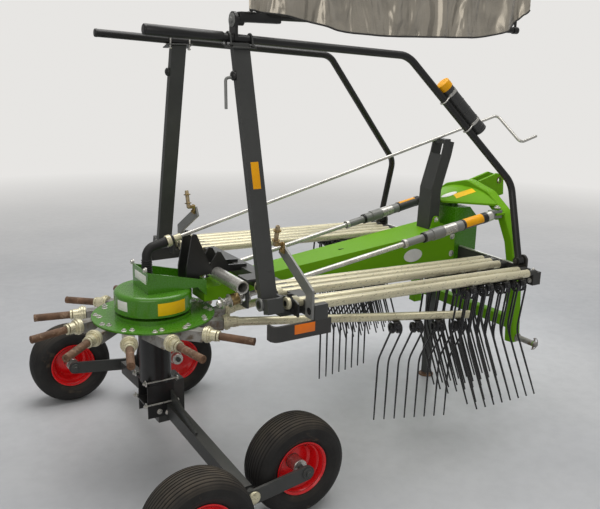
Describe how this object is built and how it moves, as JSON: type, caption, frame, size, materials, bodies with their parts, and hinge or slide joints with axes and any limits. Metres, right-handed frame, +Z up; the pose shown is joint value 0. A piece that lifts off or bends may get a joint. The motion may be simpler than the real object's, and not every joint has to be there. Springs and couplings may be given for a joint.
{
  "type": "single rotor hay rake",
  "caption": "Towed hay rake with one rotor, most tined arms stored on racks beside the beam, tandem wheels, folded tube guards and a folded grey curtain.",
  "frame": {"origin": "middle of the machine's footprint, on the ground", "axes": "+X forward to the headstock, +Y to the machine's left, +Z up"},
  "size_m": [2.6756, 1.837, 2.33],
  "materials": {
    "lime_paint": "semi-gloss paint",
    "green_paint": "semi-gloss paint",
    "dark_grey_paint": "satin paint, dusty",
    "black_paint": "satin paint",
    "cream_zinc": "zinc with a cream tint",
    "red_paint": "gloss paint, dusty",
    "grey_casting": "rough casting",
    "brown_steel": "brown surface rust",
    "spring_steel": "black lacquer",
    "pale_steel": "zinc plated",
    "grey_paint": "satin paint",
    "bronze": "yellow passivated",
    "black_rubber": "matt",
    "tyre_rubber": "matt, dusty",
    "grey_cloth": "coated cloth, sheen",
    "black_plastic": "matt"
  },
  "bodies": {
    "chassis": {"tandem_bars": "dark_grey_paint", "axle_beam": "dark_grey_paint", "support_column": "black_paint", "gearbox_cover": "green_paint", "gearbox_bracket": "lime_paint", "main_beam": "lime_paint", "swivel_head": "green_paint", "power_input": "pale_steel", "elbow_boot": "black_rubber", "crank_rod": "pale_steel", "crank_post": "dark_grey_paint", "cross_tube": "dark_grey_paint", "pivot_tube": "pale_steel", "tilt_link": "dark_grey_paint", "front_cross_member": "dark_grey_paint", "stored_arms": "cream_zinc", "stored_tines": "spring_steel", "rack_bars": "grey_paint", "latches": "bronze", "side_bumpers": "dark_grey_paint", "parking_stand_sleeve": "green_paint"},
    "rotor": {"rotor_disc": "lime_paint", "arm_bearings": "grey_casting", "arm_collars": "cream_zinc", "arm_stubs": "brown_steel", "fitted_arms": "cream_zinc", "rotor_tines": "spring_steel"},
    "guard_right": {"guard_hoop_right": "dark_grey_paint", "guard_post_right": "dark_grey_paint", "document_tube": "black_plastic", "curtain_bracket": "black_paint"},
    "guard_left": {"guard_hoop_left": "dark_grey_paint", "guard_post_left": "dark_grey_paint"},
    "curtain": {"curtain_arm": "black_paint", "curtain_sheet": "grey_cloth"},
    "headstock": {"headstock_arch": "lime_paint", "headstock_plate": "lime_paint", "top_link_ears": "lime_paint"},
    "strut_cylinder_right": {"strut_cylinder_right": "grey_paint"},
    "strut_cylinder_left": {"strut_cylinder_left": "grey_paint"},
    "strut_rod_right": {"strut_rod_right": "pale_steel"},
    "strut_rod_left": {"strut_rod_left": "pale_steel"},
    "stand_leg": {"parking_stand_leg": "dark_grey_paint"},
    "wheel_rear_right": {"tyre_rear_right": "tyre_rubber", "rim_rear_right": "red_paint"},
    "wheel_rear_left": {"tyre_rear_left": "tyre_rubber", "rim_rear_left": "red_paint"},
    "wheel_front_right": {"tyre_front_right": "tyre_rubber", "rim_front_right": "red_paint"},
    "wheel_front_left": {"tyre_front_left": "tyre_rubber", "rim_front_left": "red_paint"}
  },
  "joints": [
    {"name": "wheel_rear_right_spin", "type": "hinge", "parent": "chassis", "child": "wheel_rear_right", "pos_m": [-0.986, -0.836, 0.205], "axis": [0, 1, 0], "continuous": true},
    {"name": "wheel_rear_left_spin", "type": "hinge", "parent": "chassis", "child": "wheel_rear_left", "pos_m": [-0.986, 0.836, 0.205], "axis": [0, 1, 0], "continuous": true},
    {"name": "wheel_front_right_spin", "type": "hinge", "parent": "chassis", "child": "wheel_front_right", "pos_m": [-0.472, -0.637, 0.205], "axis": [0, 1, 0], "continuous": true},
    {"name": "wheel_front_left_spin", "type": "hinge", "parent": "chassis", "child": "wheel_front_left", "pos_m": [-0.472, 0.637, 0.205], "axis": [0, 1, 0], "continuous": true},
    {"name": "rotor_spin", "type": "hinge", "parent": "chassis", "child": "rotor", "pos_m": [-0.816, 0, 0.68], "axis": [0, 0, 1], "continuous": true},
    {"name": "headstock_swivel", "type": "hinge", "parent": "chassis", "child": "headstock", "pos_m": [0.906, 0, 0.85], "axis": [0, 0, 1], "range_deg": [-12, 12]},
    {"name": "strut_right_swing", "type": "hinge", "parent": "headstock", "child": "strut_cylinder_right", "pos_m": [0.96, -0.27, 1.04], "axis": [0, 0, 1], "range_deg": [-12, 12]},
    {"name": "strut_right_stroke", "type": "slide", "parent": "strut_cylinder_right", "child": "strut_rod_right", "axis": [-0.9843, 0.0451, -0.1708], "range_m": [-0.06, 0.06]},
    {"name": "guard_right_fold", "type": "hinge", "parent": "chassis", "child": "guard_right", "pos_m": [-0.55, -0.5485, 0.869], "axis": [1, 0, 0], "range_deg": [0, 103]},
    {"name": "strut_left_swing", "type": "hinge", "parent": "headstock", "child": "strut_cylinder_left", "pos_m": [0.96, 0.27, 1.04], "axis": [0, 0, 1], "range_deg": [-12, 12]},
    {"name": "strut_left_stroke", "type": "slide", "parent": "strut_cylinder_left", "child": "strut_rod_left", "axis": [-0.9843, -0.0451, -0.1708], "range_m": [-0.06, 0.06]},
    {"name": "guard_left_fold", "type": "hinge", "parent": "chassis", "child": "guard_left", "pos_m": [-0.55, 0.5485, 0.869], "axis": [-1, 0, 0], "range_deg": [0, 103]},
    {"name": "curtain_fold", "type": "hinge", "parent": "guard_right", "child": "curtain", "pos_m": [-0.546, -0.295, 1.932], "axis": [1, 0, 0], "range_deg": [0, 90]},
    {"name": "stand_slide", "type": "slide", "parent": "chassis", "child": "stand_leg", "axis": [0, 0, 1], "range_m": [0, 0.28]}
  ],
  "couplings": [
    {"joint": "strut_right_swing", "follows": "headstock_swivel", "ratio": -0.95404},
    {"joint": "strut_left_swing", "follows": "headstock_swivel", "ratio": -0.95404},
    {"joint": "strut_right_stroke", "follows": "headstock_swivel", "m_per_rad": 0.27123},
    {"joint": "strut_left_stroke", "follows": "headstock_swivel", "m_per_rad": -0.27123}
  ]
}
